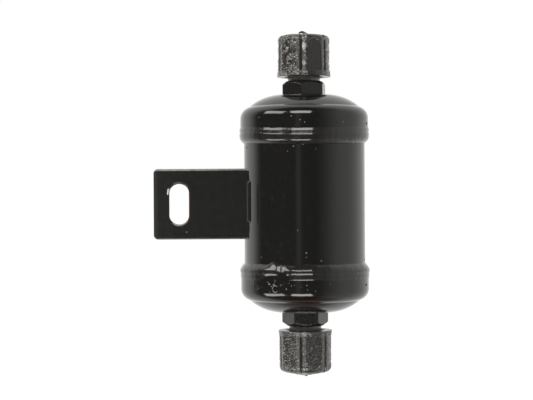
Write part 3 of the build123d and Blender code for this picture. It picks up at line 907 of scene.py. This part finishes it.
# %% Gate stubs
def tapered_rod(name, points, finish):
    """A rod along points of (x, y, z, radius), in millimetres from the canister's axis and middle."""
    curve = bpy.data.curves.new(name, "CURVE")
    curve.dimensions = "3D"
    curve.bevel_depth = MM
    curve.bevel_resolution = 4
    curve.use_fill_caps = True
    spline = curve.splines.new("NURBS")
    spline.points.add(len(points) - 1)
    for point, (x, y, z, radius) in zip(spline.points, points):
        point.co = (AXIS_X + x * MM, AXIS_Y + y * MM, z * MM, 1)
        point.radius = radius
    spline.order_u = 3
    spline.use_endpoint_u = True
    mesh = plain_mesh(put(name + "_curve", curve))
    tidy_mesh(mesh)
    mesh.materials.clear()
    mesh.materials.append(finish)
    print(name, "faces", len(mesh.polygons))
    return put(name, mesh)


TOP = CAP_END_Z
HOOK = [
    (3.4, 0, TOP - 0.5, 0.9), (2.2, 0, TOP + 0.4, 0.85), (0.5, 0, TOP + 1.5, 0.75),
    (-1.2, 0, TOP + 2.5, 0.6), (-2.6, 0, TOP + 1.5, 0.4),
]
DRIP = [(0.4, 0, -TOP - 0.2, 2.4), (0.4, 0, -TOP - 1.6, 1.5), (0.3, 0, -TOP - 2.8, 0.5)]
for end, points in (("inlet", HOOK), ("outlet", DRIP)):
    stub = tapered_rod(end + "_gate_stub", points, cap_plastic)
    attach(stub, end + "_cap")

# %% [markdown]
# ## Small marks
# A bubble in the wet paint left a broken ring on the lower cup, and a few larger drops froze on the tube
# and the cup. The ring is a thin rod laid on the cup's wall. Each drop is a ball half sunk in the wall it
# stands on, given by its place across and up from the middle of the can, and its radius.

# %% Broken ring and single drops
RING_X, RING_Z = -16.5, -44.9


def on_wall(x, radius):
    """How far in front of the axis a wall of that radius stands at x."""
    return -sqrt(radius**2 - x**2)


ring_points = []
for turn in np.radians(np.linspace(40, 325, 14)):
    x, z = RING_X + 1.4 * cos(turn), RING_Z + 1.8 * sin(turn)
    ring_points.append((x, on_wall(x, CUP_RADIUS) - 0.02, z, 0.24 + 0.08 * sin(5 * turn)))
mark = tapered_rod("paint_ring", ring_points, pale_paint_and_highlight)
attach(mark, "canister")

SINGLE_DROPS = [
    (-0.1, -25.9, 0.42), (0.0, -28.4, 0.36), (7.8, -30.2, 0.4), (-10.6, -44.9, 0.42), (0.1, -42.9, 0.34),
    (-6.4, -42.6, 0.3), (-8.0, -43.2, 0.26), (-19.6, -42.4, 0.5), (-17.2, -42.7, 0.55), (-20.3, -41.4, 0.4),
    (-18.4, -43.6, 0.3), (12.6, -42.6, 0.32), (25.5, -33.2, 0.3), (27.6, -37.5, 0.3), (-4.6, -14.0, 0.3),
    (-7.6, 46.0, 0.4), (-3.0, 44.0, 0.4), (-0.5, 42.7, 0.36), (19.9, 43.0, 0.3), (25.5, 32.4, 0.5),
    (-1.5, 31.3, 0.3), (-6.5, 30.3, 0.4), (-9.6, 27.7, 0.36), (-23.4, 37.7, 0.4), (-24.4, 45.9, 0.4),
]
work = bmesh.new()
for x, z, size in SINGLE_DROPS:
    wall = CUP_RADIUS if abs(z) > 41 else BEAD_RADIUS if abs(z) > 32 else TUBE_RADIUS
    place = Matrix.Translation((AXIS_X + x * MM, AXIS_Y + on_wall(x, wall) * MM, z * MM))
    bmesh.ops.create_icosphere(work, subdivisions=3, radius=size * MM, matrix=place)
mesh = bpy.data.meshes.new("single_drops")
work.to_mesh(mesh)
work.free()
tidy_mesh(mesh)
mesh.materials.append(pale_paint_and_highlight)
drops = put("single_drops", mesh)
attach(drops, "canister")
print("single drops", len(SINGLE_DROPS))

# %% [markdown]
# The punch left a lip inside the slot that is widest at its two ends, and beside it, on the front, a
# short bright burr. The lip is a closed ring of the section below: depth behind the plate's front, and
# share of the lip's width, with None for a point sunk in the plate. The width changes with the direction
# from the middle.

# %% Lip and burr of the slot
PLATE_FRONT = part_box("bracket_plate")[0].y / MM
LIP_SECTION = [
    (0.35, None), (0.38, 0.0), (0.5, 0.5), (0.75, 0.85), (1.1, 1.0), (1.6, 0.9), (2.1, 0.5), (2.5, 0.0),
    (2.5, None),
]
BURR_RADIUS = SLOT_RADIUS + 0.35
stations = [(turn, SLOT_STRAIGHT) for turn in np.linspace(0, pi, 32)]
stations += [(turn, -SLOT_STRAIGHT) for turn in np.linspace(pi, 2 * pi, 32)]
points = []
for depth, share in LIP_SECTION:
    for turn, middle in stations:
        width = 0.12 + 0.3 * max(0.0, -cos(turn)) + 0.5 * sin(turn) ** 2
        inward = -0.15 if share is None else width * share
        reach = SLOT_RADIUS - inward
        x, z = reach * cos(turn), middle + reach * sin(turn)
        points.append((x * MM, (PLATE_FRONT + depth) * MM, z * MM))
mesh = bpy.data.meshes.new("slot_lip")
mesh.from_pydata(points, [], grid_faces(len(LIP_SECTION), len(stations), True))
tidy_mesh(mesh)
mesh.materials.append(bracket_paint)
lip = put("slot_lip", mesh)
burr_points = []
for turn, radius in ((190, 0.12), (180, 0.3), (170, 0.4), (158, 0.15)):
    x, z = BURR_RADIUS * cos(radians(turn)), SLOT_STRAIGHT + BURR_RADIUS * sin(radians(turn))
    burr_points.append((x - AXIS_X / MM, PLATE_FRONT + 0.1 - AXIS_Y / MM, z, radius))
burr = tapered_rod("slot_burr", burr_points, bracket_paint)
for piece in (lip, burr):
    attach(piece, "canister")
print("slot lip faces", len(mesh.polygons))

# %% [markdown]
# ## Studio
# Black gloss shows nothing but its surroundings, so the light is laid out by what the paint should
# mirror. A white wall starts on the right and runs round the back to the left rear. The camera's side is
# a dark room, with one narrow slit of light just left of the camera. Angles are in degrees round from the
# camera, positive to the right. Two soft boxes hang above and two stand below, which put a pair of
# highlights on each shoulder. The camera itself sees plain white.

# %% A world of walls and darkness
world = bpy.data.worlds.new("studio")
bpy.context.scene.world = world
bench = empty_bench(world)
toward = bench.add("ShaderNodeTexCoord")["Generated"]
x, y, z = bench.parts(toward)
azimuth = x.turn("ARCTAN2", 0 - y) * (180 / pi)
right_wall = bench.fade(azimuth, 16, 78, 0.0, 0.86) + bench.fade(azimuth, 88, 125, 0.0, 0.2)
left_wall = bench.fade(0 - azimuth, 90, 120, 0.0, 1.15)
slit = bench.band(azimuth, -12.5, 0, 8, 0.3)
steep = bench.fade(z, 0.45, 0.9)
ceiling = steep * bench.fade(y, -0.25, 0.15, 0.0, 0.9)
walls = (right_wall + left_wall + slit) * (1 - steep * 0.6) + ceiling + 0.03
below = bench.fade(z, -0.97, -0.75, 0.25, 1.0)
level = walls * below
tone = bench.add("ShaderNodeCombineColor", {0: level, 1: level * 0.995, 2: level * 0.965})["Color"]
camera_ray = bench.add("ShaderNodeLightPath")["Is Camera Ray"]
seen = bench.blend(camera_ray, tone, (1, 1, 1, 1))
backdrop = bench.add("ShaderNodeBackground", {"Color": seen, "Strength": 1.0})
bench.add("ShaderNodeOutputWorld", {"Surface": backdrop["Background"]})
print("world nodes", len(world.node_tree.nodes))


# %% Soft boxes
def soft_box(name, offset, width, depth, radiance, target):
    """A rectangular lamp of even radiance that faces its target from an offset."""
    lamp = bpy.data.lights.new(name, "AREA")
    lamp.shape = "RECTANGLE"
    lamp.size = width
    lamp.size_y = depth
    lamp.energy = radiance * pi * width * depth
    lamp.color = (1.0, 0.985, 0.955)
    holder = put(name, lamp)
    holder.location = target + Vector(offset)
    aim = target - holder.location
    holder.rotation_euler = aim.to_track_quat("-Z", "Y").to_euler()
    holder.visible_camera = False


upper_shoulder = Vector((AXIS_X, AXIS_Y, 0.047))
lower_shoulder = Vector((AXIS_X, AXIS_Y, -0.047))
soft_box("upper_left_box", (-0.735, -0.407, 0.538), 0.65, 0.34, 7.0, upper_shoulder)
soft_box("upper_front_box", (-0.104, -0.785, 0.563), 0.56, 0.36, 8.5, upper_shoulder)
soft_box("lower_left_box", (-0.375, -0.208, -0.240), 0.32, 0.155, 7.0, lower_shoulder)
soft_box("lower_front_box", (-0.052, -0.402, -0.252), 0.28, 0.155, 8.5, lower_shoulder)
print("lamps", len(bpy.data.lights))

# %% [markdown]
# The floor is a plain pale sheet well below the part. It is matt, and most of what the camera sees of it
# is white light of its own. Neither the floor nor the bracket is mirrored in other pieces: a real bracket
# would show as a dark strip on the can beside it, and here the pale edge that the white wall gives is
# kept instead.

# %% Floor
floor_mesh = bpy.data.meshes.new("floor")
REACH, FLOOR_Z = 60.0, -0.7
corners = [(x * REACH, y * REACH, FLOOR_Z) for x, y in ((-1, -1), (1, -1), (1, 1), (-1, 1))]
floor_mesh.from_pydata(corners, [], [(0, 1, 2, 3)])
floor = put("floor", floor_mesh)
paper = bpy.data.materials.new("floor_paper")
bench = empty_bench(paper)
matt = bench.add("ShaderNodeBsdfDiffuse", {"Color": (0.9, 0.9, 0.89, 1)})["BSDF"]
glow = bench.add("ShaderNodeEmission", {"Color": (1, 1, 1, 1), "Strength": 1.08})["Emission"]
camera_ray = bench.add("ShaderNodeLightPath")["Is Camera Ray"]
sheet = bench.add("ShaderNodeMixShader", {0: camera_ray * 0.9, 1: matt, 2: glow})["Shader"]
bench.add("ShaderNodeOutputMaterial", {"Surface": sheet})
floor_mesh.materials.append(paper)
floor.visible_glossy = False
nodes["bracket_plate"].visible_glossy = False

# %% [markdown]
# The camera stands level with the middle of the can, square to the bracket, with a long lens. It is
# rolled by a third of a degree, as a hand-held shot is.

# %% Camera
CAMERA_DISTANCE = 0.83
CAMERA_ROLL = 0.33
camera_data = bpy.data.cameras.new("camera")
camera_data.sensor_width = 36.0
camera_data.lens = 102.5
camera = put("camera", camera_data)
camera.location = (0.0472, AXIS_Y - CAMERA_DISTANCE, 0.002)
camera.rotation_euler = (radians(90), radians(CAMERA_ROLL), 0)
bpy.context.scene.camera = camera
bpy.context.scene.view_settings.view_transform = "Standard"
